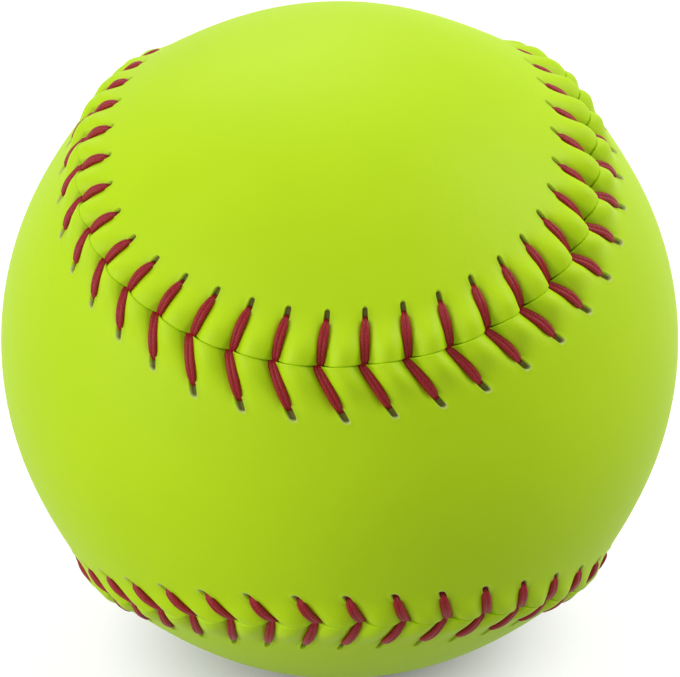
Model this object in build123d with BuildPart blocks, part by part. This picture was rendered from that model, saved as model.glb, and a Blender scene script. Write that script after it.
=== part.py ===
"""A 12-inch softball: moulded core, cement film, two stitched cover panels and their lacing thread.

The origin is the centre of the ball and +Z is up.  The front panel has its narrow waist at -Y and its
round lobes at +X and -X.  The back panel is the same figure of eight, with its waist at +Y and its
lobes over the top and the bottom of the ball.
"""

import os
from dataclasses import dataclass
from itertools import pairwise
from math import acos, atan, cos, degrees, pi, radians, sin, sqrt, tan

from build123d import *

# Ball: a tape round it rides half on the raised rims and half on the smooth field of the cover
ball_circumference = 304.8
cover_thickness = 2.2
cement_thickness = 0.25
layer_clearance = 0.03

# Seam: width of a panel at its waist, and the straight stretch where the seam changes its bend
waist_width = 41.0
straight_run = 25.8
seam_gap = 0.2

# Rim: towards the seam the cover lifts off the core, and its soft backing is pressed thinner
rim_width = 16.0
rim_lift = 1.2
backing_squeeze = 0.8
foot_slant = 1.0
edge_round = 0.8

# Stitches: each leg runs from its hole to the seam, and the hole leads the point where it dives in
stitch_count = 88
hole_distance = 6.2
front_hole_lead = 2.9
back_hole_lead = 1.9
dive_spacing = 1.4

# Thread: flat on the cover, drawn round in the holes and in the seam, pressed flat underneath
leg_width = 1.65
leg_thickness = 0.8
neck_diameter = 0.76
under_thickness = 0.5
under_lift = 0.3
under_turn = radians(35)
thread_clearance = 0.08
tail_length = 1.6
flat_share = 0.6

# Holes and notches that let the thread through the cover
slit_length = 1.9
slit_offset = 0.35
slit_clearance = 0.12
notch_clearance = 0.16
punch_overrun = 1.0

# Radii that follow from the sizes above
ball_radius = ball_circumference / (2 * pi)
field_radius = ball_radius - rim_lift / 2
cover_inside = field_radius - cover_thickness
cement_outside = cover_inside - layer_clearance
cement_inside = cement_outside - cement_thickness
core_radius = cement_inside - layer_clearance
lip_outside = field_radius + rim_lift
lip_inside = cover_inside + rim_lift + backing_squeeze
under_radius = cement_outside + thread_clearance + under_thickness / 2

CENTRE = Vector(0, 0, 0)
FRONT = 1
BACK = -1


@dataclass
class SeamRun:
    """A stretch of the seam that is a circle round an axis through the centre of the ball."""

    axis: Vector
    start: Vector
    sweep: float
    length: float

    @property
    def turn(self):
        return Axis(CENTRE, self.axis)

    @property
    def section_plane(self):
        """Plane across the run's start: x points outwards and y towards the front panel."""
        return Plane(CENTRE, x_dir=self.start, z_dir=self.axis.cross(self.start))


def seam_runs():
    """The seam as four straight runs and four lobe arcs, in the order in which they are walked."""
    tip_angle = pi / 2 - waist_width / (2 * ball_radius)
    half_run = straight_run / (2 * ball_radius)
    lobe_angle = atan((sqrt(2) * cos(half_run) - cos(tip_angle)) / sin(tip_angle))
    lobe_tilt = tip_angle - lobe_angle
    crossing_angle = acos(cos(lobe_tilt) / sqrt(2))
    half_turn = pi / 2 + atan(sin(lobe_tilt)) - acos(tan(lobe_angle) / tan(crossing_angle))
    arc_length = 2 * half_turn * sin(lobe_angle) * ball_radius

    walked = []
    before = Vector(0, 0, 1)
    for outward, panel in (
        (Vector(1, 0, 0), FRONT),
        (Vector(0, 0, -1), BACK),
        (Vector(-1, 0, 0), FRONT),
        (Vector(0, 0, 1), BACK),
    ):
        away = Vector(0, panel, 0)
        tip = outward * cos(tip_angle) + away * sin(tip_angle)
        turn_axis = (outward * cos(lobe_tilt) + away * sin(lobe_tilt)) * -panel
        arc_start = tip.rotate(Axis(CENTRE, turn_axis), -degrees(half_turn))
        crossing = (before + outward).normalized()
        run_axis = crossing.cross(arc_start).normalized()
        run_start = crossing.rotate(Axis(CENTRE, run_axis), -degrees(half_run))
        walked.append(SeamRun(run_axis, run_start, degrees(2 * half_run), straight_run))
        walked.append(SeamRun(turn_axis, arc_start, degrees(2 * half_turn), arc_length))
        before = outward
    return walked


runs = seam_runs()
seam_length = sum(run.length for run in runs)
stitch_pitch = seam_length / stitch_count


def seam_frame(distance):
    """Outward direction and direction of travel at a distance along the seam from its first crossing."""
    left = (distance + straight_run / 2) % seam_length
    for run in runs:
        if left <= run.length:
            break
        left -= run.length
    outward = run.start.rotate(run.turn, run.sweep * left / run.length)
    return outward, run.axis.cross(outward).normalized()


def direction_on_ball(distance, across):
    """Direction to a point along the seam and across it, towards the front panel."""
    outward, travel = seam_frame(distance)
    angle = across / ball_radius
    return outward * cos(angle) + travel.cross(outward) * sin(angle)


def laid_flat(start, end):
    """Direction from one point of the ball towards another, square to the radius at the first."""
    step = end - start
    return (step - start * step.dot(start)).normalized()


def section_point(across, radius):
    """Point of the rim's section, as x outwards and y across the seam."""
    angle = across / ball_radius
    return Vector(radius * cos(angle), radius * sin(angle))


def to_seam(point):
    """Direction of the ball's surface at a point of the front rim's section, towards the seam."""
    return Vector(point.Y, -point.X)


def leg_places(panel):
    """Distances along the seam of the hole and of the dive of every leg on a panel."""
    lead = front_hole_lead if panel == FRONT else back_hole_lead
    vertices_along = [(stitch + 0.5) * stitch_pitch for stitch in range(stitch_count)]
    return [(vertex + lead, vertex - panel * dive_spacing / 2) for vertex in vertices_along]


# Moulded core: one solid ball of polyurethane
with BuildPart() as core:
    Sphere(core_radius)
core.part.label = "core"

# Cement film: the cured adhesive between the core and the cover
with BuildPart() as cement_film:
    Sphere(cement_outside)
    Sphere(cement_inside, mode=Mode.SUBTRACT)
cement_film.part.label = "cement_film"

# Awl slit, pointed at both ends and set off away from the seam, where the pulled thread leaves it open
punch_start = cover_inside - punch_overrun
punch_height = lip_outside + punch_overrun - punch_start
slit_width = neck_diameter + 2 * slit_clearance
slit_shoulder = (slit_length - slit_width) / 2
with BuildPart() as slit_punch:
    with BuildSketch():
        with BuildLine():
            Polyline(
                (slit_offset - slit_length / 2, 0),
                (slit_offset - slit_shoulder, slit_width / 2),
                (slit_offset + slit_shoulder, slit_width / 2),
                (slit_offset + slit_length / 2, 0),
                (slit_offset + slit_shoulder, -slit_width / 2),
                (slit_offset - slit_shoulder, -slit_width / 2),
                close=True,
            )
        make_face()
    extrude(amount=punch_height)

# Notch where two ends of the thread dive side by side between the panels
notch_width = neck_diameter + 2 * notch_clearance
with BuildPart() as notch_punch:
    with BuildSketch():
        Rectangle(dive_spacing + notch_width, notch_width)
    extrude(amount=punch_height)


def slit_planes(panel):
    """Planes on which the holes of a panel are punched, with x along the leg, away from the seam."""
    for hole, dive in leg_places(panel):
        outward = direction_on_ball(hole, panel * hole_distance)
        along_leg = laid_flat(outward, direction_on_ball(dive, 0))
        yield Plane(outward * punch_start, x_dir=-along_leg, z_dir=outward)


def notch_planes():
    """Planes on which the edges of both panels are notched, with x along the seam."""
    for stitch in range(stitch_count):
        outward, travel = seam_frame((stitch + 0.5) * stitch_pitch)
        yield Plane(outward * punch_start, x_dir=travel, z_dir=outward)


def cover_panel(panel):
    """One figure-of-eight panel: its field on the core, its lifted rim, its slits and its notches."""
    foot_outside = section_point(panel * rim_width, field_radius)
    foot_inside = section_point(panel * (rim_width - foot_slant), cover_inside)
    lip_edge = section_point(panel * seam_gap / 2, lip_outside)
    lip_underside = section_point(panel * seam_gap / 2, lip_inside)
    past_cover = (foot_outside - foot_inside).normalized() * punch_overrun

    foot_walls = []
    for run in runs:
        below = run.section_plane.from_local_coords(foot_inside - past_cover)
        above = run.section_plane.from_local_coords(foot_outside + past_cover)
        foot_walls.append(Face.revolve(Edge.make_line(below, above), run.sweep, run.turn))

    # The poles of this ball lie under the other panel, clear of the cut along the foot of the rim
    turned_away = Plane(CENTRE, x_dir=(0, panel, 0), z_dir=(0, 0, 1) if panel == FRONT else (1, 0, 0))
    with BuildPart(turned_away) as hollow_ball:
        Sphere(field_radius)
        Sphere(cover_inside, mode=Mode.SUBTRACT)
        split(bisect_by=Shell(foot_walls), keep=Keep.ALL)

    with BuildPart() as cover:
        add(hollow_ball.solids().sort_by(Axis.Y)[0 if panel == FRONT else -1])
        for run in runs:
            with BuildSketch(run.section_plane):
                with BuildLine():
                    outside = TangentArc(foot_outside, lip_edge, tangent=to_seam(foot_outside) * panel)
                    inside = TangentArc(foot_inside, lip_underside, tangent=to_seam(foot_inside) * panel)
                    Line(outside @ 0, inside @ 0)
                    Line(outside @ 1, inside @ 1)
                make_face()
                fillet(vertices().sort_by_distance(lip_edge)[0], edge_round)
            revolve(axis=run.turn, revolution_arc=run.sweep)
        with Locations(*slit_planes(panel)):
            add(slit_punch.part, mode=Mode.SUBTRACT)
        with Locations(*notch_planes()):
            add(notch_punch.part, mode=Mode.SUBTRACT)
    return cover


cover_panel_front = cover_panel(FRONT)
cover_panel_front.part.label = "cover_panel_front"

cover_panel_back = cover_panel(BACK)
cover_panel_back.part.label = "cover_panel_back"


@dataclass
class ThreadSection:
    """A six-sided section of the thread, as wide and as thick as the thread is pressed there."""

    centre: Vector
    wide: Vector
    thick: Vector
    width: float
    thickness: float

    @property
    def outline(self):
        """The six corners, in order round the section."""
        plane = Plane(self.centre, x_dir=self.wide, z_dir=self.wide.cross(self.thick))
        half = self.width / 2
        flat = half * flat_share
        rise = self.thickness / 2
        corners = [(half, 0), (flat, rise), (-flat, rise), (-half, 0), (-flat, -rise), (flat, -rise)]
        return [plane.from_local_coords(Vector(*corner)) for corner in corners]

    def walked_back(self):
        """The same section met from its other side."""
        return ThreadSection(self.centre, self.wide, -self.thick, self.width, self.thickness)


def cover_top(across):
    """Radius of the cover's outside, this far from the seam."""
    return field_radius + rim_lift * (1 - across / rim_width) ** 2


def leg_sections(stitch, panel):
    """The thread from under a hole, up through it, over the cover and down between the panels."""
    hole, dive = leg_places(panel)[stitch]
    over_hole = direction_on_ball(hole, panel * hole_distance)
    over_middle = direction_on_ball((hole + dive) / 2, panel * hole_distance / 2)
    over_dive, along_seam = seam_frame(dive)
    from_hole = laid_flat(over_hole, over_dive)
    from_middle = laid_flat(over_middle, over_dive)
    across_seam = over_dive.cross(along_seam) * panel
    wide_hole = from_hole.cross(over_hole) * panel
    wide_middle = from_middle.cross(over_middle) * panel

    top_of_hole = cover_top(hole_distance) + thread_clearance + neck_diameter / 2
    top_of_leg = cover_top(hole_distance / 2) + thread_clearance + leg_thickness / 2
    top_of_dive = lip_outside + thread_clearance + neck_diameter / 2
    corner = neck_diameter * sqrt(2)
    under_corner = under_thickness / cos(under_turn)
    return [
        ThreadSection(
            over_hole * under_radius,
            wide_hole,
            (over_hole * cos(under_turn) + from_hole * sin(under_turn)) * panel,
            neck_diameter,
            under_corner,
        ),
        ThreadSection(
            over_hole * (under_radius + top_of_hole) / 2,
            wide_hole,
            from_hole * panel,
            neck_diameter,
            neck_diameter,
        ),
        ThreadSection(
            over_hole * top_of_hole,
            wide_hole,
            (from_hole - over_hole) * panel,
            neck_diameter,
            corner,
        ),
        ThreadSection(
            over_middle * top_of_leg,
            wide_middle,
            over_middle * -panel,
            leg_width,
            leg_thickness,
        ),
        ThreadSection(
            over_dive * top_of_dive,
            along_seam,
            (over_dive + across_seam) * -panel,
            neck_diameter,
            corner,
        ),
        ThreadSection(
            over_dive * (under_radius + under_lift),
            along_seam,
            (over_dive * cos(under_turn) + across_seam * sin(under_turn)) * -panel,
            neck_diameter,
            under_corner,
        ),
    ]


def needle_sections(first_panel):
    """The route of one needle, backwards along the seam and from panel to panel, and its tucked end."""
    sections = []
    panel = first_panel
    for stitch in reversed(range(stitch_count)):
        sections += leg_sections(stitch, panel)
        panel = -panel
    last = sections[-1]
    below_dive = last.centre.normalized()
    tucked = last.centre + laid_flat(below_dive, below_dive + last.thick * panel) * tail_length
    tucked_up = tucked.normalized() * panel
    sections.append(ThreadSection(tucked, last.wide, tucked_up, neck_diameter, under_thickness))
    return sections


def first_crossing():
    """The middle of the thread, under the seam between the first hole of each needle."""
    first_holes = [leg_places(panel)[-1][0] for panel in (FRONT, BACK)]
    outward, along_seam = seam_frame(sum(first_holes) / 2)
    centre = outward * (under_radius + under_lift)
    return ThreadSection(centre, along_seam, outward, neck_diameter, under_thickness)


# Lacing thread: one waxed thread with a needle on each end, which meet again where they started
back_needle = [section.walked_back() for section in reversed(needle_sections(BACK))]
route = [section.outline for section in [*back_needle, first_crossing(), *needle_sections(FRONT)]]
thread_skin = [Face(Wire.make_polygon(end)) for end in (route[0], route[-1])]
for near, far in pairwise(route):
    for corner in range(len(near)):
        near_edge = Edge.make_line(near[corner - 1], near[corner])
        far_edge = Edge.make_line(far[corner - 1], far[corner])
        thread_skin.append(Face.make_surface_from_curves(near_edge, far_edge))

with BuildPart() as lacing_thread:
    add(Solid(Shell(thread_skin)))
lacing_thread.part.label = "lacing_thread"

os.makedirs("parts", exist_ok=True)
for piece in (core, cement_film, cover_panel_front, cover_panel_back, lacing_thread):
    export_step(piece.part, f"parts/{piece.part.label}.step")
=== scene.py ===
"""Looks of a 12-inch softball: pillowed cover panels, two-strand lacing, studio light and the photo's view.

Lengths are millimetres here and become metres where a mesh is made.  Near the seam a place is laid flat,
as on a cutting pattern: x along the seam, y across it towards the front panel, z up from the mean radius.
A panel is named by its side of the seam: 1 for the front panel, -1 for the back panel.
"""

from math import acos, asin, atan, cos, pi, radians, sin, sqrt, tan

import bmesh
import bpy
import numpy as np
from mathutils import Matrix, Vector
from mathutils.geometry import delaunay_2d_cdt


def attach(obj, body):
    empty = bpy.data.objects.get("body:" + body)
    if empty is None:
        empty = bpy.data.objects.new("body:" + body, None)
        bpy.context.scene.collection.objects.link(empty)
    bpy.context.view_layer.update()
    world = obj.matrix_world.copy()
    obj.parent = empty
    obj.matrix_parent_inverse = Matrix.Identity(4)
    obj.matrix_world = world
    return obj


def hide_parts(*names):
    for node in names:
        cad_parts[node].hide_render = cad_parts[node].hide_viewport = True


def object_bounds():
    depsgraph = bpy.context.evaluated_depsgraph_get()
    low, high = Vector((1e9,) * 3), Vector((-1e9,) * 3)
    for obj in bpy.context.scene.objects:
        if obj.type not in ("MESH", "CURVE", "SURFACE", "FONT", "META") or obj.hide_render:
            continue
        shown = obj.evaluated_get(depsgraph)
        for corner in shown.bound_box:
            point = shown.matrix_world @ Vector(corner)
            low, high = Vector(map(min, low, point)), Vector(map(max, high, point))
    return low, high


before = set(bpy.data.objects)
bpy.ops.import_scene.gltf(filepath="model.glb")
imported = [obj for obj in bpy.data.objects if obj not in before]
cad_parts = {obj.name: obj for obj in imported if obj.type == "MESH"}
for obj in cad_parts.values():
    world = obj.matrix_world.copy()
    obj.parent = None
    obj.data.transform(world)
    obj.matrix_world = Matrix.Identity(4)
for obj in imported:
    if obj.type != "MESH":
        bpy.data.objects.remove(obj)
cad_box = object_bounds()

MM = 0.001

# Numbers of a Mix node's sockets for plain values and for colours, which share their names
VALUE_A, VALUE_B = 2, 3
MIX_A, MIX_B, MIXED = 6, 7, 2

# Ball, seam and stitches
ball_radius = 304.8 / (2 * pi)
rim_width = 16.0
rim_lift = 1.2
cover_thickness = 2.2
backing_squeeze = 0.8
underside_width = 15.0
field_height = -rim_lift / 2
waist_width = 41.0
straight_run = 25.8
stitch_count = 88
steps_per_stitch = 24
hole_distance = 6.2
hole_lead = {1: 2.35, -1: 1.75}
dive_offset = 0.25
first_stitch = 0.555
panel_names = {1: "cover_panel_front", -1: "cover_panel_back"}

# Relief of the cover beside the seam
pillow_height = 0.8
pillow_crest = 1.9
pillow_reach = 2.5
groove_depth = 0.5
groove_width = 1.1
groove_fade = 1.6
groove_past_slit = 0.3
pinch_depth = 0.75
pinch_reach = 2.2

# Cut edge of a panel, rolled over its top
edge_gap = 0.004
edge_wall = 0.3
edge_round = 0.24
edge_angles = (0, 18, 36, 54, 72)
edge_pull = 0.06
edge_pull_width = 0.7
edge_pull_end = 2.6
edge_fade = 5.0
lip_inset = 0.1

# Awl slits, torn at the far end in the front panel
slit_near = 5.55
slit_far = 7.7
slit_half_width = 0.52
slit_least_rim = 0.1
slit_depth = 0.6
slit_margin = 0.05
slit_lip = 0.1
slit_lip_width = 0.3
torn_from = 7.0
torn_past_slit = 0.2
torn_share = 0.6

# Mesh of the rim: columns beside a leg, rows by their distance from the seam, and counts of columns
slit_column = 0.42
leg_columns = (0.15, 0.3, slit_column, 0.58, 0.8, 1.1, 1.5, 2.0, 2.5)
underside_rows = ((underside_width, 6), (11.0, 6), (7.0, 6), (3.5, 11))
underside_last_row = 1.2
leg_rows = (0, 0.25, 0.55, 0.9, 1.3, 1.7, 2.1, 2.5, 2.9, 3.3, 3.7, 4.1, 4.5, 4.85, 5.15, 5.38)
slit_row_count = 11
past_slit_rows = (7.95, 8.3, 8.7)
foot_rows = ((9.3, 21), (10.2, 11), (11.4, 11), (12.8, 6), (14.4, 6), (rim_width, 6))
squeeze_range = (4.2, slit_near)
release_range = (slit_far, 8.2)
even_range = (7.6, 8.8)
field_spacing = 1.7
underside_spacing = 3.0
clear_of_rim = 0.7
triangle_height = 0.866
least_step = 1e-12
fill_tolerance = 1e-9

# Hand lacing: how much it varies, and where, as shares of the radius to the right (x) and upwards (z)
unevenness = 0.35
wander_scale = 9.0
wander_fade = (8.0, 12.0)
upper_swell = 0.25
left_calm = 1.5
panel_slip = 0.7
shear_limit = 1.25
leg_fan = 1.6
edge_tuck = 0.25
tuck_fade = (8.0, 15.0)
lower_right_tuck = 1.4
above_range = (-0.42, 0.42)
below_range = (-0.05, -0.35)
left_range = (-0.35, -0.65)
right_range = (0.4, 0.7)
panel_blend = 1.0
weld_distance = 0.01

# Thread of each leg, from the hole to the seam
leg_stations = 13
leg_share = [0.0, 0.09, 0.25, 0.45, 0.7, 0.9, 1.0]
leg_width = {1: [0.84, 1.1, 1.34, 1.44, 1.46, 1.4, 1.3], -1: [0.84, 1.12, 1.4, 1.47, 1.36, 1.2, 1.08]}
leg_thickness = [0.6, 0.74, 0.9, 0.96, 0.92, 0.84, 0.74]
leg_rise = [-0.35, 0.16, 0.36, 0.4, 0.37, 0.3, -0.1]
leg_bow = 0.14
leg_crowding = 0.06
leg_turn_from = 0.55
neck_width = 0.7
strand_sides = 8
strand_offset = 0.58

# Thread out of sight, before a leg in its hole and after it on the way to the next hole: share of that way,
# height, width and thickness
under_height = -2.5
run_before = ((0.0, under_height, neck_width, 0.6), (0.0, -1.2, neck_width, 0.6))
run_after = ((0.0, -0.9, 1.0, 0.6), (0.0, -2.2, neck_width, 0.5), (0.25, under_height, neck_width, 0.45),
             (0.7, under_height, neck_width, 0.45), (1.0, under_height, neck_width, 0.45))

# View of the photo, 680 by 677 pixels
picture_width = 680
picture_height = 677
view_azimuth = radians(0.33)
view_elevation = radians(28.4)
view_roll = radians(-0.71)
view_distance = 707.0
outline_pixels = 342.8
outline_radius = 48.5
ball_pixel = (339.6, 339.6)


def linear(hex_colour):
    """Linear colour with full alpha from an sRGB hex value."""
    parts = [int(hex_colour[i:i + 2], 16) / 255 for i in (1, 3, 5)]
    return [p / 12.92 if p <= 0.04045 else ((p + 0.055) / 1.055) ** 2.4 for p in parts] + [1.0]


def add_node(tree, kind, inputs=None, **settings):
    """Adds a node with its settings.  An input takes a value, or the output socket of another node."""
    node = tree.nodes.new(kind)
    for name, value in settings.items():
        setattr(node, name, value)
    for socket, value in (inputs or {}).items():
        if isinstance(value, bpy.types.NodeSocket):
            tree.links.new(value, node.inputs[socket])
        else:
            node.inputs[socket].default_value = value
    return node


# Seam: four straight runs and four lobe arcs, each a circle round an axis through the ball's centre


def turned(vector, axis, angles):
    """The vector turned round a unit axis, once for each angle."""
    angles = np.atleast_1d(angles)[:, None]
    along = axis * axis.dot(vector)
    return along + (vector - along) * np.cos(angles) + np.cross(axis, vector) * np.sin(angles)


def seam_runs():
    """Axis, start, sweep and length of each run, in the order in which they are walked."""
    tip_angle = pi / 2 - waist_width / (2 * ball_radius)
    half_run = straight_run / (2 * ball_radius)
    lobe_angle = atan((sqrt(2) * cos(half_run) - cos(tip_angle)) / sin(tip_angle))
    lobe_tilt = tip_angle - lobe_angle
    crossing_angle = acos(cos(lobe_tilt) / sqrt(2))
    half_turn = pi / 2 + atan(sin(lobe_tilt)) - acos(tan(lobe_angle) / tan(crossing_angle))
    runs = []
    before = np.array([0.0, 0.0, 1.0])
    for outward, panel in (([1, 0, 0], 1), ([0, 0, -1], -1), ([-1, 0, 0], 1), ([0, 0, 1], -1)):
        outward = np.array(outward, float)
        away = np.array([0.0, panel, 0.0])
        tip = outward * cos(tip_angle) + away * sin(tip_angle)
        turn_axis = (outward * cos(lobe_tilt) + away * sin(lobe_tilt)) * -panel
        arc_start = turned(tip, turn_axis, -half_turn)[0]
        crossing = (before + outward) / np.linalg.norm(before + outward)
        run_axis = np.cross(crossing, arc_start)
        run_axis /= np.linalg.norm(run_axis)
        runs.append((run_axis, turned(crossing, run_axis, -half_run)[0], 2 * half_run, straight_run))
        runs.append((turn_axis, arc_start, 2 * half_turn, 2 * half_turn * sin(lobe_angle) * ball_radius))
        before = outward
    return runs


runs = seam_runs()
seam_length = sum(run[3] for run in runs)
stitch_pitch = seam_length / stitch_count


def seam_curve():
    """The seam as a closed curve of short steps, starting at its first crossing."""
    steps = stitch_count * steps_per_stitch
    left = (np.arange(steps) * seam_length / steps + straight_run / 2) % seam_length
    outward = np.empty((steps, 3))
    for axis, start, sweep, length in runs:
        here = left >= 0
        outward[here] = turned(start, axis, sweep * left[here] / length)
        left = left - length
    curve = bpy.data.curves.new("seam_path", "CURVE")
    curve.dimensions = "3D"
    spline = curve.splines.new("POLY")
    spline.points.add(steps - 1)
    spline.points.foreach_set("co", np.c_[outward * ball_radius * MM, np.ones(steps)].ravel())
    spline.use_cyclic_u = True
    path = bpy.data.objects.new("seam_path", curve)
    bpy.context.scene.collection.objects.link(path)
    return path


def seam_tree():
    """Geometry Nodes that repeat a flat pattern once a stitch and bend it round the ball along the seam."""
    tree = bpy.data.node_groups.new("pattern_along_seam", "GeometryNodeTree")
    tree.is_modifier = True
    for name, kind in (
        ("Pattern", "NodeSocketGeometry"),
        ("Seam", "NodeSocketObject"),
        ("Stitch Count", "NodeSocketInt"),
        ("Stitch Pitch", "NodeSocketFloat"),
        ("Ball Radius", "NodeSocketFloat"),
        ("First Stitch", "NodeSocketFloat"),
        ("Hole Distance", "NodeSocketFloat"),
        ("Unevenness", "NodeSocketFloat"),
        ("Upper Swell", "NodeSocketFloat"),
        ("Panel Slip", "NodeSocketFloat"),
        ("Leg Fan", "NodeSocketFloat"),
        ("Edge Tuck", "NodeSocketFloat"),
        ("Outside", "NodeSocketMaterial"),
        ("Backing", "NodeSocketMaterial"),
    ):
        tree.interface.new_socket(name, in_out="INPUT", socket_type=kind)
    tree.interface.new_socket("Piece", in_out="OUTPUT", socket_type="NodeSocketGeometry")
    given = add_node(tree, "NodeGroupInput").outputs
    radius = given["Ball Radius"]

    # One copy of the pattern for each stitch, in a row
    lead_in = add_node(tree, "ShaderNodeMath", {
        0: given["Stitch Pitch"], 1: given["First Stitch"]}, operation="MULTIPLY")
    first = add_node(tree, "ShaderNodeCombineXYZ", {"X": lead_in.outputs[0]})
    step = add_node(tree, "ShaderNodeCombineXYZ", {"X": given["Stitch Pitch"]})
    row = add_node(tree, "GeometryNodeMeshLine", {
        "Count": given["Stitch Count"], "Start Location": first.outputs[0], "Offset": step.outputs[0]})
    copies = add_node(tree, "GeometryNodeInstanceOnPoints", {
        "Points": row.outputs[0], "Instance": given["Pattern"]})
    laid_out = add_node(tree, "GeometryNodeRealizeInstances", {0: copies.outputs[0]})

    # The seam's place, direction and side for each point of the row
    place = add_node(tree, "GeometryNodeInputPosition")
    flat = add_node(tree, "ShaderNodeSeparateXYZ", {0: place.outputs[0]})
    whole = add_node(tree, "ShaderNodeMath", {
        0: given["Stitch Pitch"], 1: given["Stitch Count"]}, operation="MULTIPLY")
    along = add_node(tree, "ShaderNodeMath", {
        0: flat.outputs["X"], 1: whole.outputs[0]}, operation="FLOORED_MODULO")
    seam = add_node(tree, "GeometryNodeObjectInfo", {"Object": given["Seam"]})
    on_seam = add_node(tree, "GeometryNodeSampleCurve", {
        "Curves": seam.outputs["Geometry"], "Length": along.outputs[0]}, mode="LENGTH")
    outward = add_node(tree, "ShaderNodeVectorMath", {0: on_seam.outputs["Position"]}, operation="NORMALIZE")
    side = add_node(tree, "ShaderNodeVectorMath", {
        0: on_seam.outputs["Tangent"], 1: outward.outputs[0]}, operation="CROSS_PRODUCT")
    side_unit = add_node(tree, "ShaderNodeVectorMath", {0: side.outputs[0]}, operation="NORMALIZE")

    # Hand lacing is never even: pillows differ in height, and stitches shift a little
    wander = add_node(tree, "ShaderNodeTexNoise", {
        "Vector": outward.outputs[0], "Scale": wander_scale, "Detail": 1.0}, noise_dimensions="3D")
    centred = add_node(tree, "ShaderNodeVectorMath", {
        0: wander.outputs["Color"], 1: (-0.5, -0.5, -0.5)}, operation="ADD")
    across = add_node(tree, "ShaderNodeMath", {0: flat.outputs["Y"]}, operation="ABSOLUTE")
    fade = add_node(tree, "ShaderNodeMapRange", {
        "Value": across.outputs[0], "From Min": wander_fade[0] * MM, "From Max": wander_fade[1] * MM,
        "To Min": 1.0, "To Max": 0.0}, interpolation_type="SMOOTHSTEP")
    amount = add_node(tree, "ShaderNodeMath", {
        0: given["Unevenness"], 1: fade.outputs[0]}, operation="MULTIPLY")
    shift = add_node(tree, "ShaderNodeVectorMath", {
        0: centred.outputs[0], "Scale": amount.outputs[0]}, operation="SCALE")
    shift_parts = add_node(tree, "ShaderNodeSeparateXYZ", {0: shift.outputs[0]})

    # The pillows swell more above than below: above most of all on the right, while they shrink at the far
    # left, and below least of all at the sides
    on_ball = add_node(tree, "ShaderNodeSeparateXYZ", {0: outward.outputs[0]})
    rightness, height_share = on_ball.outputs["X"], on_ball.outputs["Z"]
    aside = add_node(tree, "ShaderNodeMath", {0: rightness}, operation="ABSOLUTE")
    to_left = add_node(tree, "ShaderNodeMath", {0: rightness, 1: 0.0}, operation="MINIMUM")
    to_right = add_node(tree, "ShaderNodeMath", {0: rightness, 1: 0.0}, operation="MAXIMUM")
    above = add_node(tree, "ShaderNodeMapRange", {
        "Value": height_share, "From Min": above_range[0], "From Max": above_range[1]})
    lean = add_node(tree, "ShaderNodeMapRange", {"Value": above.outputs[0], "To Min": -1.0, "To Max": 1.0})
    relief = add_node(tree, "GeometryNodeInputNamedAttribute", {"Name": "relief"}, data_type="FLOAT")
    rightward = add_node(tree, "ShaderNodeMath", {
        0: to_left.outputs[0], 1: left_calm, 2: rightness}, operation="MULTIPLY_ADD")
    to_side = add_node(tree, "ShaderNodeMix", {
        "Factor": above.outputs[0], VALUE_A: aside.outputs[0], VALUE_B: rightward.outputs[0]},
        data_type="FLOAT")
    upper_share = add_node(tree, "ShaderNodeMath", {
        0: lean.outputs[0], 1: to_side.outputs[0], 2: lean.outputs[0]}, operation="MULTIPLY_ADD")
    swelling = add_node(tree, "ShaderNodeMath", {
        0: upper_share.outputs[0], 1: given["Upper Swell"], 2: shift_parts.outputs["Z"]},
        operation="MULTIPLY_ADD")
    swell = add_node(tree, "ShaderNodeMath", {
        0: relief.outputs["Attribute"], 1: swelling.outputs[0]}, operation="MULTIPLY")

    # Pulled tight, the panels slip along each other, one way above and the other way below
    to_hole = add_node(tree, "ShaderNodeMath", {
        0: flat.outputs["Y"], 1: given["Hole Distance"]}, operation="DIVIDE")
    sheared = add_node(tree, "ShaderNodeClamp", {
        "Value": to_hole.outputs[0], "Min": -shear_limit, "Max": shear_limit})
    slipping = add_node(tree, "ShaderNodeMath", {
        0: sheared.outputs[0], 1: given["Panel Slip"]}, operation="MULTIPLY")
    slip = add_node(tree, "ShaderNodeMath", {
        0: slipping.outputs[0], 1: lean.outputs[0], 2: shift_parts.outputs["X"]}, operation="MULTIPLY_ADD")

    # The front panel's legs fan out towards the sides, but at the lower right the back panel's legs do
    front_legs = add_node(tree, "ShaderNodeMath", {0: sheared.outputs[0], 1: 0.0}, operation="MAXIMUM")
    back_legs = add_node(tree, "ShaderNodeMath", {
        0: front_legs.outputs[0], 1: sheared.outputs[0]}, operation="SUBTRACT")
    front_turn = add_node(tree, "ShaderNodeMix", {
        "Factor": above.outputs[0], VALUE_A: to_left.outputs[0], VALUE_B: aside.outputs[0]},
        data_type="FLOAT")
    back_turn = add_node(tree, "ShaderNodeMix", {
        "Factor": above.outputs[0], VALUE_A: to_right.outputs[0], VALUE_B: 0.0}, data_type="FLOAT")
    front_turned = add_node(tree, "ShaderNodeMath", {
        0: front_turn.outputs[0], 1: front_legs.outputs[0]}, operation="MULTIPLY")
    turned_legs = add_node(tree, "ShaderNodeMath", {
        0: back_turn.outputs[0], 1: back_legs.outputs[0], 2: front_turned.outputs[0]},
        operation="MULTIPLY_ADD")
    fanned = add_node(tree, "ShaderNodeMath", {
        0: turned_legs.outputs[0], 1: given["Leg Fan"]}, operation="MULTIPLY")
    drift = add_node(tree, "ShaderNodeMath", {
        0: slip.outputs[0], 1: fanned.outputs[0]}, operation="SUBTRACT")

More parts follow.
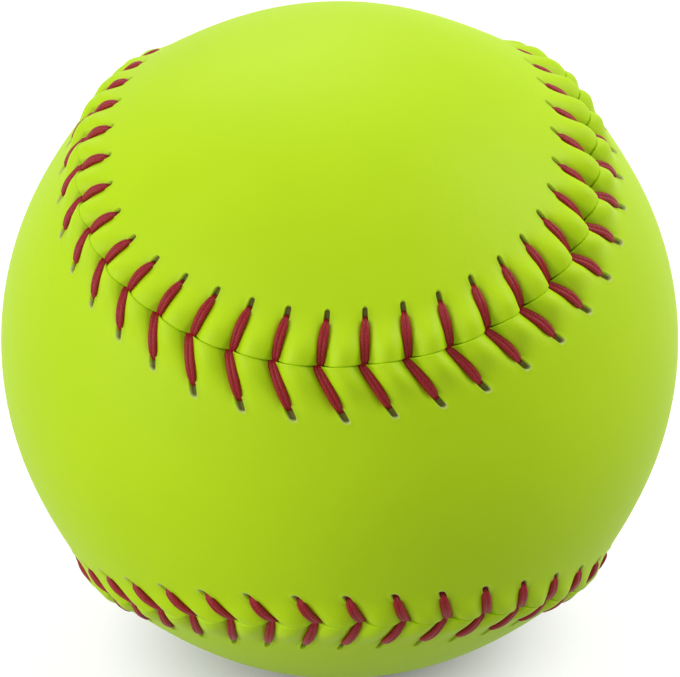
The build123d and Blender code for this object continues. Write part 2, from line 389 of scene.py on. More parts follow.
    # The front panel's edge is tucked in further below and on the left, and the back panel's edge on the
    # left and at the lower right, so that the holes lie nearer the seam there
    below = add_node(tree, "ShaderNodeMapRange", {
        "Value": height_share, "From Min": below_range[0], "From Max": below_range[1]})
    at_left = add_node(tree, "ShaderNodeMapRange", {
        "Value": rightness, "From Min": left_range[0], "From Max": left_range[1]})
    at_right = add_node(tree, "ShaderNodeMapRange", {
        "Value": rightness, "From Min": right_range[0], "From Max": right_range[1],
        "To Max": lower_right_tuck})
    front_share = add_node(tree, "ShaderNodeMath", {
        0: below.outputs[0], 1: at_left.outputs[0]}, operation="MAXIMUM")
    lower_right = add_node(tree, "ShaderNodeMath", {
        0: below.outputs[0], 1: at_right.outputs[0]}, operation="MULTIPLY")
    back_share = add_node(tree, "ShaderNodeMath", {
        0: at_left.outputs[0], 1: lower_right.outputs[0]}, operation="MAXIMUM")
    on_front = add_node(tree, "ShaderNodeMapRange", {
        "Value": flat.outputs["Y"], "From Min": -panel_blend * MM, "From Max": panel_blend * MM})
    panel_share = add_node(tree, "ShaderNodeMix", {
        "Factor": on_front.outputs[0], VALUE_A: back_share.outputs[0], VALUE_B: front_share.outputs[0]},
        data_type="FLOAT")
    by_seam = add_node(tree, "ShaderNodeMapRange", {
        "Value": across.outputs[0], "From Min": tuck_fade[0] * MM, "From Max": tuck_fade[1] * MM,
        "To Min": 1.0, "To Max": 0.0}, interpolation_type="SMOOTHSTEP")
    tucked_share = add_node(tree, "ShaderNodeMath", {
        0: panel_share.outputs[0], 1: by_seam.outputs[0]}, operation="MULTIPLY")
    tuck = add_node(tree, "ShaderNodeMath", {
        0: tucked_share.outputs[0], 1: given["Edge Tuck"]}, operation="MULTIPLY")
    kept_share = add_node(tree, "ShaderNodeMath", {0: 1.0, 1: tuck.outputs[0]}, operation="SUBTRACT")
    tucked = add_node(tree, "ShaderNodeMath", {
        0: flat.outputs["Y"], 1: kept_share.outputs[0]}, operation="MULTIPLY")

    # Across the seam is an angle round the ball, and height adds to its radius
    shifted_across = add_node(tree, "ShaderNodeMath", {
        0: tucked.outputs[0], 1: shift_parts.outputs["Y"]}, operation="ADD")
    angle = add_node(tree, "ShaderNodeMath", {0: shifted_across.outputs[0], 1: radius}, operation="DIVIDE")
    height = add_node(tree, "ShaderNodeMath", {0: flat.outputs["Z"], 1: swell.outputs[0]}, operation="ADD")
    reach = add_node(tree, "ShaderNodeMath", {0: height.outputs[0], 1: radius}, operation="ADD")
    up_share = add_node(tree, "ShaderNodeMath", {0: angle.outputs[0]}, operation="COSINE")
    side_share = add_node(tree, "ShaderNodeMath", {0: angle.outputs[0]}, operation="SINE")
    up_part = add_node(tree, "ShaderNodeVectorMath", {
        0: outward.outputs[0], "Scale": up_share.outputs[0]}, operation="SCALE")
    side_part = add_node(tree, "ShaderNodeVectorMath", {
        0: side_unit.outputs[0], "Scale": side_share.outputs[0]}, operation="SCALE")
    direction = add_node(tree, "ShaderNodeVectorMath", {0: up_part.outputs[0], 1: side_part.outputs[0]})
    bent = add_node(tree, "ShaderNodeVectorMath", {
        0: direction.outputs[0], "Scale": reach.outputs[0]}, operation="SCALE")
    shift_along = add_node(tree, "ShaderNodeVectorMath", {
        0: on_seam.outputs["Tangent"], "Scale": drift.outputs[0]}, operation="SCALE")
    final_place = add_node(tree, "ShaderNodeVectorMath", {0: bent.outputs[0], 1: shift_along.outputs[0]})

    wrapped = add_node(tree, "GeometryNodeSetPosition", {
        "Geometry": laid_out.outputs[0], "Position": final_place.outputs[0]})
    joined = add_node(tree, "GeometryNodeMergeByDistance", {
        "Geometry": wrapped.outputs[0], "Distance": weld_distance * MM})
    smooth = add_node(tree, "GeometryNodeSetShadeSmooth", {"Geometry": joined.outputs[0]})
    whole_piece = add_node(tree, "GeometryNodeRealizeInstances", {0: smooth.outputs[0]})
    outside = add_node(tree, "GeometryNodeSetMaterial", {
        "Geometry": whole_piece.outputs[0], "Material": given["Outside"]})
    backing_faces = add_node(tree, "GeometryNodeInputNamedAttribute", {"Name": "backing"},
                             data_type="BOOLEAN")
    backed = add_node(tree, "GeometryNodeSetMaterial", {
        "Geometry": outside.outputs[0], "Selection": backing_faces.outputs["Attribute"],
        "Material": given["Backing"]})
    add_node(tree, "NodeGroupOutput", {"Piece": backed.outputs[0]})
    return tree


def along_seam(piece, tree, path, outside, backing):
    """Runs the tree on a flat pattern and keeps the result as the piece's plain mesh."""
    modifier = piece.modifiers.new("along_seam", "NODES")
    modifier.node_group = tree
    chosen = {
        "Seam": path,
        "Stitch Count": stitch_count,
        "Stitch Pitch": stitch_pitch * MM,
        "Ball Radius": ball_radius * MM,
        "First Stitch": first_stitch,
        "Hole Distance": hole_distance * MM,
        "Unevenness": unevenness * MM,
        "Upper Swell": upper_swell * MM,
        "Panel Slip": panel_slip * MM,
        "Leg Fan": leg_fan * MM,
        "Edge Tuck": edge_tuck,
        "Outside": outside,
        "Backing": backing,
    }
    for item in tree.interface.items_tree:
        if item.in_out == "INPUT" and item.name in chosen:
            modifier[item.identifier] = chosen[item.name]
    depsgraph = bpy.context.evaluated_depsgraph_get()
    mesh = bpy.data.meshes.new_from_object(
        piece.evaluated_get(depsgraph), preserve_all_data_layers=True, depsgraph=depsgraph)
    mesh.name = piece.name
    piece.modifiers.remove(modifier)
    pattern = piece.data
    piece.data = mesh
    bpy.data.meshes.remove(pattern)


# Cover panels


def smoothstep(low, high, value):
    share = np.clip((value - low) / (high - low), 0, 1)
    return share * share * (3 - 2 * share)


def cover_height(across):
    """Height of the plain rim, this far from the seam."""
    return field_height + rim_lift * np.clip(1 - across / rim_width, 0, 1) ** 2


def underside_height(across):
    lift = (rim_lift + backing_squeeze) * np.clip(1 - across / underside_width, 0, 1) ** 2
    return field_height - cover_thickness + lift


def leg_line(panel, across):
    """Where a leg's line stands along the seam, counted from its stitch's vertex, this far from the seam."""
    start = -panel * dive_offset
    slope = (hole_lead[panel] - start) / hole_distance
    return start + slope * np.minimum(across, slit_far + groove_past_slit)


def pillow(beside, across):
    """Swelling of the cover between two legs, and the groove that each leg presses into it."""
    between = 0.5 - 0.5 * np.cos(2 * pi * beside / stitch_pitch)
    swelling = pillow_height * np.exp(-((across - pillow_crest) / pillow_reach) ** 2) * between
    fading = smoothstep(hole_distance - groove_fade, slit_far + groove_past_slit, across)
    pressed = groove_depth * (1 - fading)
    pinched = pinch_depth * np.exp(-(across / pinch_reach) ** 2)
    return swelling - (pressed + pinched) * np.exp(-(beside / groove_width) ** 2)


def slit_outline(across):
    """Half the width of the open slit, this far from the seam."""
    middle = (slit_near + slit_far) / 2
    share = (across - middle) / ((slit_far - slit_near) / 2)
    return slit_half_width * np.clip(1 - share ** 4, 0, 1) ** 0.4


def panel_pattern(panel):
    """One stitch of a panel's rim, laid flat: from its foot inside, round the edge, to its foot outside."""
    half = stitch_pitch / 2
    one_side = np.array([*leg_columns, half])
    fine = np.r_[-one_side[::-1], 0, one_side]
    even = np.linspace(-half, half, len(fine))
    inner_columns = np.abs(fine) < slit_column
    slit_columns = np.abs(fine) <= slit_column

    rows = []

    def add_row(beside, across, height, shade=0, slit=0, torn=0, backing=False):
        across = np.broadcast_to(across, beside.shape)
        along = beside + leg_line(panel, np.maximum(across, 0))
        place = np.c_[along, across * panel, np.broadcast_to(height, beside.shape)]
        rows.append((place, *(np.broadcast_to(v, beside.shape) for v in (shade, slit, torn)), backing))

    # Underside, from its foot to the lip
    for across, count in underside_rows:
        beside = np.linspace(-half, half, count)
        add_row(beside, across, underside_height(across), backing=True)
    add_row(even, underside_last_row, underside_height(underside_last_row), backing=True)

    # Cut wall of the edge and its rolled rim, pulled back a little at each leg
    pulled = np.exp(-(fine / edge_pull_width) ** 2)
    edge = edge_gap + edge_pull * pulled
    top = edge + edge_round
    crest = cover_height(top) + pillow(fine, top)
    lip = np.minimum(underside_height(0.0), crest - edge_round - edge_wall)
    add_row(fine, edge + lip_inset, lip, pillow(fine, top))
    for angle in edge_angles:
        across = top - edge_round * cos(radians(angle))
        height = crest - edge_round * (1 - sin(radians(angle)))
        add_row(fine, across, height, pillow(fine, top))

    # Outside, with the slit behind the end of the leg, round which the nearest columns are squeezed
    for step in np.r_[leg_rows, np.linspace(slit_near, slit_far, slit_row_count), past_slit_rows]:
        start = top if step < edge_pull_end else edge_gap + edge_round
        across = step + start * (1 - smoothstep(0.0, edge_fade, step))
        spread = smoothstep(*even_range, step)
        beside = fine * (1 - spread) + even * spread
        near_slit = smoothstep(*squeeze_range, step) * (1 - smoothstep(*release_range, step))
        rim = np.maximum(slit_outline(step), slit_least_rim)
        squeezed = np.where(slit_columns, fine * rim / slit_column, beside)
        beside = beside * (1 - near_slit) + squeezed * near_slit
        relief = pillow(beside, across)
        from_slit = np.abs(beside) - slit_outline(step)
        lip = slit_lip * np.exp(-(from_slit / slit_lip_width) ** 2) * near_slit
        height = cover_height(across) + relief + lip
        is_open = inner_columns & (slit_near + slit_margin < step < slit_far - slit_margin)
        torn = torn_share * slit_columns * (torn_from < step < slit_far + torn_past_slit) * (panel == 1)
        add_row(beside, across, height - slit_depth * is_open, relief, is_open, torn)
    for across, count in foot_rows:
        beside = np.linspace(-half, half, count)
        add_row(beside, across, cover_height(across) + pillow(beside, across), pillow(beside, across))

    points, marks, faces, backings, starts = [], [], [], [], []
    for place, relief, slit, torn, _ in rows:
        starts.append(len(points))
        points.extend(place * MM)
        marks.extend(np.c_[relief, slit, torn])
    for (near, far), (near_start, far_start) in zip(zip(rows, rows[1:]), zip(starts, starts[1:])):
        near_count, far_count = len(near[0]), len(far[0])
        strip = []
        if near_count == far_count:
            for c in range(near_count - 1):
                strip.append((near_start + c, near_start + c + 1, far_start + c + 1, far_start + c))
        else:
            fewer, more, flip = ((near_start, far_start, False) if near_count < far_count
                                 else (far_start, near_start, True))
            for c in range(min(near_count, far_count) - 1):
                a, b = fewer + c, fewer + c + 1
                d, e, f = more + 2 * c, more + 2 * c + 1, more + 2 * c + 2
                trio = [(a, e, d), (a, b, e), (b, f, e)]
                strip.extend(tuple(reversed(t)) if flip else t for t in trio)
        faces.extend(strip)
        backings.extend([near[-1]] * len(strip))
    if panel == 1:
        faces = [tuple(reversed(f)) for f in faces]

    mesh = bpy.data.meshes.new(panel_names[panel] + "_pattern")
    mesh.from_pydata(points, [], faces)
    for name, values in zip(("relief", "slit", "torn"), np.array(marks, np.float32).T):
        mesh.attributes.new(name, "FLOAT", "POINT").data.foreach_set("value", np.ascontiguousarray(values))
    mesh.attributes.new("backing", "BOOLEAN", "FACE").data.foreach_set("value", np.array(backings))
    return mesh


def boundary_rings(bm):
    """The open rims of the band, each as its vertices in order."""
    left = dict.fromkeys(e for e in bm.edges if e.is_boundary)
    rings = []
    while left:
        edge = next(iter(left))
        del left[edge]
        ring = list(edge.verts)
        while True:
            follow = [e for e in ring[-1].link_edges if e in left]
            if not follow:
                break
            del left[follow[0]]
            ring.append(follow[0].other_vert(ring[-1]))
        rings.append(ring[:-1] if ring[-1] is ring[0] else ring)
    return rings


def fill_field(bm, ring, panel, spacing, inside, material_index):
    """Fills a rim of the band with the ball's smooth field, as even triangles on its sphere."""
    radius = np.mean([v.co.length for v in ring])
    count = int(4 * pi * radius ** 2 / (triangle_height * (spacing * MM) ** 2))
    steps = np.arange(count) + 0.5
    polar = np.arccos(1 - 2 * steps / count)
    turn = pi * (1 + sqrt(5)) * steps
    spread = np.c_[np.cos(turn) * np.sin(polar), np.sin(turn) * np.sin(polar), np.cos(polar)]
    rim = np.array([v.co.normalized() for v in ring])

    def unrolled(directions):
        """Stereographic map of the ball with the panel's waist in the middle."""
        depth = 1 - directions[:, 1] * panel
        return directions[:, [0, 2]] / depth[:, None]

    flat_rim = unrolled(rim)
    flat = unrolled(spread)
    x0, y0 = flat_rim[:, 0], flat_rim[:, 1]
    x1, y1 = np.roll(x0, -1), np.roll(y0, -1)
    crossings = np.zeros(count, int)
    for a, b, c, d in zip(x0, y0, x1, y1):
        spans = (b > flat[:, 1]) != (d > flat[:, 1])
        where = a + (flat[:, 1] - b) * (c - a) / ((d - b) or least_step)
        crossings += spans & (flat[:, 0] < where)
    least_gap = clear_of_rim * spacing * MM / radius
    clear = np.array([np.min(np.sum((rim - p) ** 2, axis=1)) for p in spread]) > least_gap ** 2
    kept = spread[(crossings % 2 == 1) & clear]
    plan = [Vector(p) for p in np.r_[flat_rim, unrolled(kept)]]
    loop = [(i, (i + 1) % len(ring)) for i in range(len(ring))]
    _, _, triangles, sources, _, _ = delaunay_2d_cdt(plan, loop, [], 1, fill_tolerance)
    verts = list(ring) + [bm.verts.new(Vector(p) * radius) for p in kept]
    for triangle in triangles:
        corners = [verts[sources[i][0]] for i in triangle]
        normal = (corners[1].co - corners[0].co).cross(corners[2].co - corners[0].co)
        if (normal.dot(corners[0].co) > 0) == inside:
            corners.reverse()
        face = bm.faces.new(corners)
        face.smooth = True
        face.material_index = material_index


def cover_panel(panel, tree, path, leather, backing):
    """One figure-of-eight panel: the pillowed band along the seam, and its fields outside and inside."""
    piece = bpy.data.objects.new(panel_names[panel] + "_leather", panel_pattern(panel))
    bpy.context.scene.collection.objects.link(piece)
    along_seam(piece, tree, path, leather, backing)
    bm = bmesh.new()
    bm.from_mesh(piece.data)
    for ring in boundary_rings(bm):
        inside = ring[0].co.length < (ball_radius - cover_thickness) * MM
        spacing = underside_spacing if inside else field_spacing
        facing = backing if inside else leather
        fill_field(bm, ring, panel, spacing, inside, piece.data.materials.find(facing.name))
    bm.to_mesh(piece.data)
    bm.free()
    return piece


# Lacing thread


def strand_rings(stations, sideways, half_widths, half_heights, offset):
    """Rings of points round one strand, set off to one side of the leg's middle line."""
    travel = np.gradient(stations, axis=0)
    travel /= np.linalg.norm(travel, axis=1)[:, None]
    sideways = sideways - travel * np.sum(sideways * travel, axis=1)[:, None]
    sideways /= np.linalg.norm(sideways, axis=1)[:, None]
    upward = np.cross(travel, sideways)
    turns = 2 * pi * (np.arange(strand_sides) + 0.5) / strand_sides
    centre = stations + sideways * (offset * half_widths)[:, None]
    rings = (centre[:, None]
             + sideways[:, None] * (half_widths[:, None] * np.cos(turns))[..., None]
             + upward[:, None] * (half_heights[:, None] * np.sin(turns))[..., None])
    return rings


def leg_route(panel):
    """The thread from a hole to the next: its line, sideways direction, width, thickness and ground."""
    hole = np.array([hole_lead[panel], panel * hole_distance])
    dive = np.array([-panel * dive_offset, 0.0])
    next_hole = np.array([hole_lead[-panel] - stitch_pitch, -panel * hole_distance])
    step = (dive - hole) / np.linalg.norm(dive - hole)
    square = np.array([-step[1], step[0]])
    along = np.array([1.0, 0.0]) * np.sign(square[0])

    share = np.linspace(0, 1, leg_stations)
    share = share + leg_crowding * np.sin(2 * pi * share)
    line = hole + (dive - hole) * share[:, None] + square * (leg_bow * np.sin(pi * share))[:, None]
    relief = pillow(0.0, np.abs(line[:, 1]))
    over = np.c_[line, cover_height(np.abs(line[:, 1])) + relief + np.interp(share, leg_share, leg_rise)]
    turning = smoothstep(leg_turn_from, 1.0, share)[:, None]
    over_side = square * (1 - turning) + along * turning

    way_on = [dive * (1 - part) + next_hole * part for part, *_ in run_after]
    before = [(*hole, height) for _, height, _, _ in run_before]
    after = [(*place, height) for place, (_, height, _, _) in zip(way_on, run_after)]
    places = np.array([*before, *over, *after])
    sides = np.array([square, square, *over_side, along, along, along, square, square])
    widths = [*(run[2] for run in run_before), *np.interp(share, leg_share, leg_width[panel]),
              *(run[2] for run in run_after)]
    depths = [*(run[3] for run in run_before), *np.interp(share, leg_share, leg_thickness),
              *(run[3] for run in run_after)]
    reliefs = [0, 0, *relief, relief[-1], 0, 0, 0, 0]
    return places, np.c_[sides, np.zeros(len(sides))], np.array(widths), np.array(depths), reliefs


def stitch_pattern():
    """Both legs of one stitch with their hidden runs, laid flat: two strands side by side in each leg.

    The chart of a strand gives the share of the way round it, and the length along it in millimetres.
    """
    points, faces, charts, grounds = [], [], [], []
    for panel in (1, -1):
        stations, sides, widths, depths, reliefs = leg_route(panel)
        length = np.r_[0, np.cumsum(np.linalg.norm(np.diff(stations, axis=0), axis=1))]
        for offset in (-strand_offset, strand_offset):
            rings = strand_rings(stations, sides, widths / (2 * (1 + strand_offset)), depths / 2, offset)
            start = len(points)
            points.extend(rings.reshape(-1, 3) * MM)
            grounds.extend(np.repeat(reliefs, strand_sides))
            for i in range(len(stations) - 1):
                for j in range(strand_sides):
                    k = (j + 1) % strand_sides
                    near, far = start + i * strand_sides, start + (i + 1) * strand_sides
                    faces.append((near + j, far + j, far + k, near + k))
                    here, there = j / strand_sides, (j + 1) / strand_sides
                    charts.append([(here, length[i]), (here, length[i + 1]),
                                   (there, length[i + 1]), (there, length[i])])
            for end, order in ((start, 1), (start + (len(stations) - 1) * strand_sides, -1)):
                cap = [end + j for j in range(strand_sides)][::order]
                faces.append(tuple(cap))
                charts.append([(0.5, 0.0)] * strand_sides)
    mesh = bpy.data.meshes.new("lacing_pattern")
    mesh.from_pydata(points, [], faces)
    chart = mesh.uv_layers.new(name="strand")
    chart.data.foreach_set("uv", np.array([c for face in charts for c in face], np.float32).ravel())
    mesh.attributes.new("relief", "FLOAT", "POINT").data.foreach_set("value", np.array(grounds, np.float32))
    return mesh


# Materials


def new_material(name):
    """An empty node material with its output and a Principled shader linked to it."""
    material = bpy.data.materials.new(name)
    material.use_nodes = True
    tree = material.node_tree
    tree.nodes.clear()
    shader = add_node(tree, "ShaderNodeBsdfPrincipled")
    add_node(tree, "ShaderNodeOutputMaterial", {"Surface": shader.outputs[0]})
    return material, tree, shader


def seen_rays(tree):
    """Output that is 1 for the rays that show the background: camera, glossy and transmission rays."""
    rays = add_node(tree, "ShaderNodeLightPath").outputs
    direct = add_node(tree, "ShaderNodeMath", {
        0: rays["Is Camera Ray"], 1: rays["Is Transmission Ray"]}, operation="MAXIMUM")
    seen = add_node(tree, "ShaderNodeMath", {
        0: direct.outputs[0], 1: rays["Is Glossy Ray"]}, operation="MAXIMUM")
    return seen.outputs[0]


def polyurethane_leather():
    """Optic yellow synthetic leather: a satin polyurethane skin with a fine pressed grain.

    It gives broad soft highlights, a deeper green painted as shade in the grooves along the legs, and awl
    slits whose walls are painted a dull olive shade, with a pale torn rim.
    """
    material, tree, shader = new_material("polyurethane_leather")
    place = add_node(tree, "ShaderNodeTexCoord").outputs["Object"]
    relief = add_node(tree, "ShaderNodeAttribute", attribute_name="relief").outputs["Fac"]
    slit = add_node(tree, "ShaderNodeAttribute", attribute_name="slit").outputs["Fac"]
    torn = add_node(tree, "ShaderNodeAttribute", attribute_name="torn").outputs["Fac"]

    cloudy = add_node(tree, "ShaderNodeTexNoise", {"Vector": place, "Scale": 1 / (14 * MM), "Detail": 3.0})
    dye_and_shade = add_node(tree, "ShaderNodeMix", {
        "Factor": cloudy.outputs["Fac"], MIX_A: linear("#BCE404"), MIX_B: linear("#C4EA08")},
        data_type="RGBA")
    # Painted shade: a deeper green where the legs press grooves and pinches into the cover, in place of the
    # shade that falls there
    pressed = add_node(tree, "ShaderNodeMapRange", {
        "Value": relief, "From Min": 0.0, "From Max": -0.4, "To Min": 0.0, "To Max": 0.75})
    groove_shade = add_node(tree, "ShaderNodeMix", {
        "Factor": pressed.outputs[0], MIX_A: dye_and_shade.outputs[MIXED], MIX_B: linear("#A4C606")},
        data_type="RGBA")
    torn_rim = add_node(tree, "ShaderNodeMix", {
        "Factor": torn, MIX_A: groove_shade.outputs[MIXED], MIX_B: linear("#D6DC98")}, data_type="RGBA")
    # Painted shade: the walls of the open slits get a dull olive in place of the shade inside them
    slit_shade = add_node(tree, "ShaderNodeMix", {
        "Factor": slit, MIX_A: torn_rim.outputs[MIXED], MIX_B: linear("#77722F")}, data_type="RGBA")

    # Grain cells about 0.55 mm across, with pores of about 0.3 mm
    cells = add_node(tree, "ShaderNodeTexVoronoi", {
        "Vector": place, "Scale": 1 / (0.55 * MM), "Randomness": 1.0}, feature="SMOOTH_F1")
    pores = add_node(tree, "ShaderNodeTexNoise", {"Vector": place, "Scale": 1 / (0.3 * MM), "Detail": 2.0})
    grain = add_node(tree, "ShaderNodeMath", {
        0: cells.outputs["Distance"], 1: pores.outputs["Fac"]}, operation="ADD")
    bump = add_node(tree, "ShaderNodeBump", {
        "Height": grain.outputs[0], "Strength": 0.35, "Distance": 0.03 * MM})
    satin = add_node(tree, "ShaderNodeMapRange", {
        "Value": pores.outputs["Fac"], "From Min": 0.3, "From Max": 0.7, "To Min": 0.5, "To Max": 0.6})

    tree.links.new(slit_shade.outputs[MIXED], shader.inputs["Base Color"])
    tree.links.new(satin.outputs[0], shader.inputs["Roughness"])
    tree.links.new(bump.outputs[0], shader.inputs["Normal"])
    shader.inputs["IOR"].default_value = 1.5
    shader.inputs["Specular IOR Level"].default_value = 0.26
    return material


def nonwoven_backing():
    """Needled polyester felt under the skin: dull off-white with a fibre mat of about 0.8 mm."""
    material, tree, shader = new_material("nonwoven_backing")
    place = add_node(tree, "ShaderNodeTexCoord").outputs["Object"]
    mat = add_node(tree, "ShaderNodeTexNoise", {
        "Vector": place, "Scale": 1 / (0.8 * MM), "Detail": 6.0, "Distortion": 1.5})
    felt = add_node(tree, "ShaderNodeMix", {
        "Factor": mat.outputs["Fac"], MIX_A: linear("#C9C7B4"), MIX_B: linear("#EAE8DA")}, data_type="RGBA")
    bump = add_node(tree, "ShaderNodeBump", {
        "Height": mat.outputs["Fac"], "Strength": 0.6, "Distance": 0.1 * MM})
    tree.links.new(felt.outputs[MIXED], shader.inputs["Base Color"])
    tree.links.new(bump.outputs[0], shader.inputs["Normal"])
    shader.inputs["Roughness"].default_value = 0.9
    return material


def waxed_thread():
    """Crimson waxed cotton: fine plies round each strand, a soft wax gloss, painted shade in the valleys
    between plies, pale flecks.
    """
    material, tree, shader = new_material("waxed_thread")
    chart = add_node(tree, "ShaderNodeUVMap", uv_map="strand").outputs[0]
    place = add_node(tree, "ShaderNodeTexCoord").outputs["Object"]
    parts = add_node(tree, "ShaderNodeSeparateXYZ", {0: chart})

    # Seven plies about 0.4 mm apart, wound at a steep lay: one turn of the strand in 5 mm
    lay = add_node(tree, "ShaderNodeMath", {0: parts.outputs["Y"], 1: 1 / 5.0}, operation="MULTIPLY")
    around = add_node(tree, "ShaderNodeMath", {0: parts.outputs["X"], 1: lay.outputs[0]}, operation="ADD")
    plies = add_node(tree, "ShaderNodeMath", {0: around.outputs[0], 1: 2 * pi * 7}, operation="MULTIPLY")
    wave = add_node(tree, "ShaderNodeMath", {0: plies.outputs[0]}, operation="SINE")
    fibres = add_node(tree, "ShaderNodeTexNoise", {"Vector": place, "Scale": 1 / (0.35 * MM), "Detail": 4.0})
    ridge = add_node(tree, "ShaderNodeMapRange", {
        "Value": wave.outputs[0], "From Min": -1.0, "From Max": 1.0, "To Min": 0.0, "To Max": 0.6})
    height = add_node(tree, "ShaderNodeMath", {
        0: ridge.outputs[0], 1: fibres.outputs["Fac"]}, operation="ADD")
    # Painted shade: the crimson turns darker in the valleys between plies and fibres, lighter on their
    # ridges
    ply_valley_shade = add_node(tree, "ShaderNodeMapRange", {
        "Value": height.outputs[0], "From Min": 0.3, "From Max": 1.2, "To Min": 0.0, "To Max": 1.0})
    dye_and_shade = add_node(tree, "ShaderNodeMix", {
        "Factor": ply_valley_shade.outputs[0], MIX_A: linear("#7A0C14"), MIX_B: linear("#AA1822")}, data_type="RGBA")

    # Loose fibre ends and flecks of wax, drawn 0.25 mm across so that they show
    flecks = add_node(tree, "ShaderNodeTexNoise", {"Vector": place, "Scale": 1 / (0.25 * MM), "Detail": 2.0})
    fuzz = add_node(tree, "ShaderNodeMapRange", {
        "Value": flecks.outputs["Fac"], "From Min": 0.56, "From Max": 0.72, "To Min": 0.0, "To Max": 0.4})
    fuzzy = add_node(tree, "ShaderNodeMix", {
        "Factor": fuzz.outputs[0], MIX_A: dye_and_shade.outputs[MIXED], MIX_B: linear("#BC4A4C")}, data_type="RGBA")
    bump = add_node(tree, "ShaderNodeBump", {
        "Height": height.outputs[0], "Strength": 0.5, "Distance": 0.05 * MM})
    tree.links.new(fuzzy.outputs[MIXED], shader.inputs["Base Color"])
    tree.links.new(bump.outputs[0], shader.inputs["Normal"])
    shader.inputs["Roughness"].default_value = 0.5
    shader.inputs["Specular IOR Level"].default_value = 0.3
    return material


def polyurethane_core():
    """Moulded polyurethane foam: buff, matt, with a skin of fine closed pores."""
    material, tree, shader = new_material("polyurethane_core")
    place = add_node(tree, "ShaderNodeTexCoord").outputs["Object"]
    pores = add_node(tree, "ShaderNodeTexVoronoi", {"Vector": place, "Scale": 1 / (0.9 * MM)})
    tone = add_node(tree, "ShaderNodeTexNoise", {"Vector": place, "Scale": 1 / (12 * MM), "Detail": 4.0})
    foam = add_node(tree, "ShaderNodeMix", {
        "Factor": tone.outputs["Fac"], MIX_A: linear("#CDBB8E"), MIX_B: linear("#DCCDA4")}, data_type="RGBA")
    bump = add_node(tree, "ShaderNodeBump", {
        "Height": pores.outputs["Distance"], "Strength": 0.3, "Distance": 0.1 * MM})
    tree.links.new(foam.outputs[MIXED], shader.inputs["Base Color"])
    tree.links.new(bump.outputs[0], shader.inputs["Normal"])
    shader.inputs["Roughness"].default_value = 0.75
    return material


def brushed_cement():
    """Cured rubber cement: amber, half glossy, with the streaks of the brush."""
    material, tree, shader = new_material("brushed_cement")
    place = add_node(tree, "ShaderNodeTexCoord").outputs["Object"]
    drawn_out = add_node(tree, "ShaderNodeMapping", {"Vector": place, "Scale": (1.0, 1.0, 8.0)})
    streaks = add_node(tree, "ShaderNodeTexNoise", {
        "Vector": drawn_out.outputs[0], "Scale": 1 / (6 * MM), "Detail": 5.0})
    film = add_node(tree, "ShaderNodeMix", {
        "Factor": streaks.outputs["Fac"], MIX_A: linear("#B08A4E"), MIX_B: linear("#D2B47C")},
        data_type="RGBA")
    gloss = add_node(tree, "ShaderNodeMapRange", {
        "Value": streaks.outputs["Fac"], "To Min": 0.25, "To Max": 0.55})
    bump = add_node(tree, "ShaderNodeBump", {
        "Height": streaks.outputs["Fac"], "Strength": 0.3, "Distance": 0.1 * MM})
    tree.links.new(film.outputs[MIXED], shader.inputs["Base Color"])
    tree.links.new(gloss.outputs[0], shader.inputs["Roughness"])
    tree.links.new(bump.outputs[0], shader.inputs["Normal"])
    return material


def white_paper_floor():
    """Matt background paper: it shows as white round the ball and keeps the ball's shadow.

    Its own grey throws little light back up, and a lift that only seen rays meet makes it white; the lift
    fades out towards the ball's foot, a painted shadow round it.
    """
    material, tree, shader = new_material("white_paper_floor")
    place = add_node(tree, "ShaderNodeTexCoord").outputs["Object"]
    tooth = add_node(tree, "ShaderNodeTexNoise", {"Vector": place, "Scale": 1 / (1.5 * MM), "Detail": 2.0})
    paper = add_node(tree, "ShaderNodeMix", {
        "Factor": tooth.outputs["Fac"], MIX_A: linear("#A6A6A6"), MIX_B: linear("#AAAAAA")},
        data_type="RGBA")
    tree.links.new(paper.outputs[MIXED], shader.inputs["Base Color"])
    # Painted shadow: the lift fades out between 38 mm and 5 mm from under the ball, so the floor turns
    # darker round it
    on_floor = add_node(tree, "ShaderNodeVectorMath", {0: place, 1: (1.0, 1.0, 0.0)}, operation="MULTIPLY")
    away = add_node(tree, "ShaderNodeVectorMath", {0: on_floor.outputs[0]}, operation="LENGTH")
    lift = add_node(tree, "ShaderNodeMapRange", {
        "Value": away.outputs["Value"], "From Min": 5 * MM, "From Max": 38 * MM, "To Max": 0.75},
        interpolation_type="SMOOTHSTEP")
    lift_with_painted_shadow = add_node(tree, "ShaderNodeMath", {0: seen_rays(tree), 1: lift.outputs[0]}, operation="MULTIPLY")
    tree.links.new(lift_with_painted_shadow.outputs[0], shader.inputs["Emission Strength"])
    shader.inputs["Emission Color"].default_value = linear("#FFFFFF")
    shader.inputs["Roughness"].default_value = 0.9
    return material


# The ball

path = seam_curve()
tree = seam_tree()
leather = polyurethane_leather()
backing = nonwoven_backing()
thread = waxed_thread()

pieces = []
for panel, node in panel_names.items():
    piece = cover_panel(panel, tree, path, leather, backing)
    pieces.append((piece, node, "cover"))

lacing = bpy.data.objects.new("lacing_thread_strands", stitch_pattern())
bpy.context.scene.collection.objects.link(lacing)
along_seam(lacing, tree, path, thread, thread)
pieces.append((lacing, "lacing_thread", "thread"))

seam_data = path.data
bpy.data.objects.remove(path)
bpy.data.curves.remove(seam_data)
bpy.data.node_groups.remove(tree)

for piece, node, slot in pieces:
    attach(piece, "root")
    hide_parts(node)

for node, material in (("core", polyurethane_core()), ("cement_film", brushed_cement())):
    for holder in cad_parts[node].material_slots:
        holder.material = material

# Floor, under the lowest point of the ball

half_floor = 3.0
floor_signs = ((-1, -1), (1, -1), (1, 1), (-1, 1))
floor_corners = [(x * half_floor, y * half_floor, cad_box[0].z) for x, y in floor_signs]
floor_mesh = bpy.data.meshes.new("paper_floor")
floor_mesh.from_pydata(floor_corners, [], [(0, 1, 2, 3)])
floor_mesh.materials.append(white_paper_floor())
floor = bpy.data.objects.new("paper_floor", floor_mesh)
bpy.context.scene.collection.objects.link(floor)

# Soft studio light

lamp_distance = 0.9


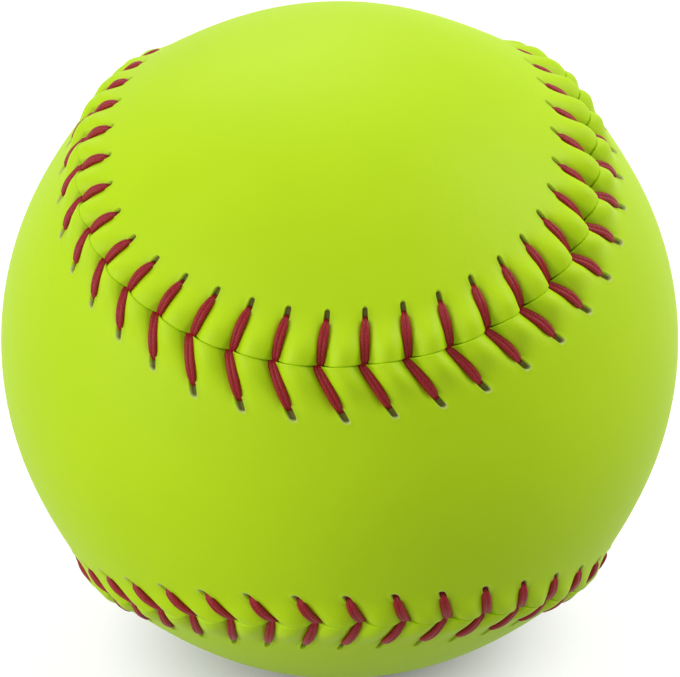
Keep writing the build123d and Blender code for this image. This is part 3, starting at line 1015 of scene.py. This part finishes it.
def softbox(name, azimuth, elevation, size, power):
    """A round area lamp that faces the ball, placed by its angles in degrees from the camera's side."""
    lamp = bpy.data.lights.new(name, "AREA")
    lamp.shape = "DISK"
    lamp.size = size
    lamp.energy = power
    box = bpy.data.objects.new(name, lamp)
    turn, lift = radians(azimuth), radians(elevation)
    away = Vector((sin(turn) * cos(lift), -cos(turn) * cos(lift), sin(lift)))
    box.location = away * lamp_distance
    box.rotation_euler = away.to_track_quat("Z", "Y").to_euler()
    bpy.context.scene.collection.objects.link(box)


softbox("rear_softbox", -165, 50, 0.7, 3.1)
softbox("left_softbox", -66, 17, 0.6, 4.0)
softbox("right_softbox", 98, 36, 0.6, 4.5)
softbox("front_fill", -18, 14, 0.5, 0.9)
softbox("top_fill", -10, 66, 0.7, 0.8)

world = bpy.data.worlds.new("studio")
bpy.context.scene.world = world
world.use_nodes = True
world.node_tree.nodes.clear()
room = add_node(world.node_tree, "ShaderNodeBackground", {"Color": linear("#FFFFFF"), "Strength": 0.22})
white = add_node(world.node_tree, "ShaderNodeBackground", {"Color": linear("#FFFFFF"), "Strength": 1.0})
shown = add_node(world.node_tree, "ShaderNodeMixShader", {
    0: seen_rays(world.node_tree), 1: room.outputs[0], 2: white.outputs[0]})
add_node(world.node_tree, "ShaderNodeOutputWorld", {"Surface": shown.outputs[0]})

# Camera at the photo's angle, with the ball's outline where the photo has it

view_back = Vector((sin(view_azimuth) * cos(view_elevation), -cos(view_azimuth) * cos(view_elevation),
                    sin(view_elevation)))
level_right = Vector((cos(view_azimuth), sin(view_azimuth), 0))
level_up = view_back.cross(level_right)
view_right = level_right * cos(view_roll) + level_up * sin(view_roll)
view_up = level_up * cos(view_roll) - level_right * sin(view_roll)
focal_pixels = outline_pixels / tan(asin(outline_radius / view_distance))
view_aside = (picture_width / 2 - ball_pixel[0]) * view_distance / focal_pixels
view_aloft = (ball_pixel[1] - picture_height / 2) * view_distance / focal_pixels
view_place = (view_back * view_distance + view_right * view_aside + view_up * view_aloft) * MM
camera = bpy.data.cameras.new("photo_view")
camera.sensor_fit = "HORIZONTAL"
camera.lens = focal_pixels * camera.sensor_width / picture_width
camera.clip_start = 0.01
stand = bpy.data.objects.new("photo_view", camera)
view_turn = Matrix((view_right, view_up, view_back)).transposed().to_4x4()
stand.matrix_world = Matrix.Translation(view_place) @ view_turn
bpy.context.scene.collection.objects.link(stand)
bpy.context.scene.camera = stand
bpy.context.scene.view_settings.view_transform = "Standard"
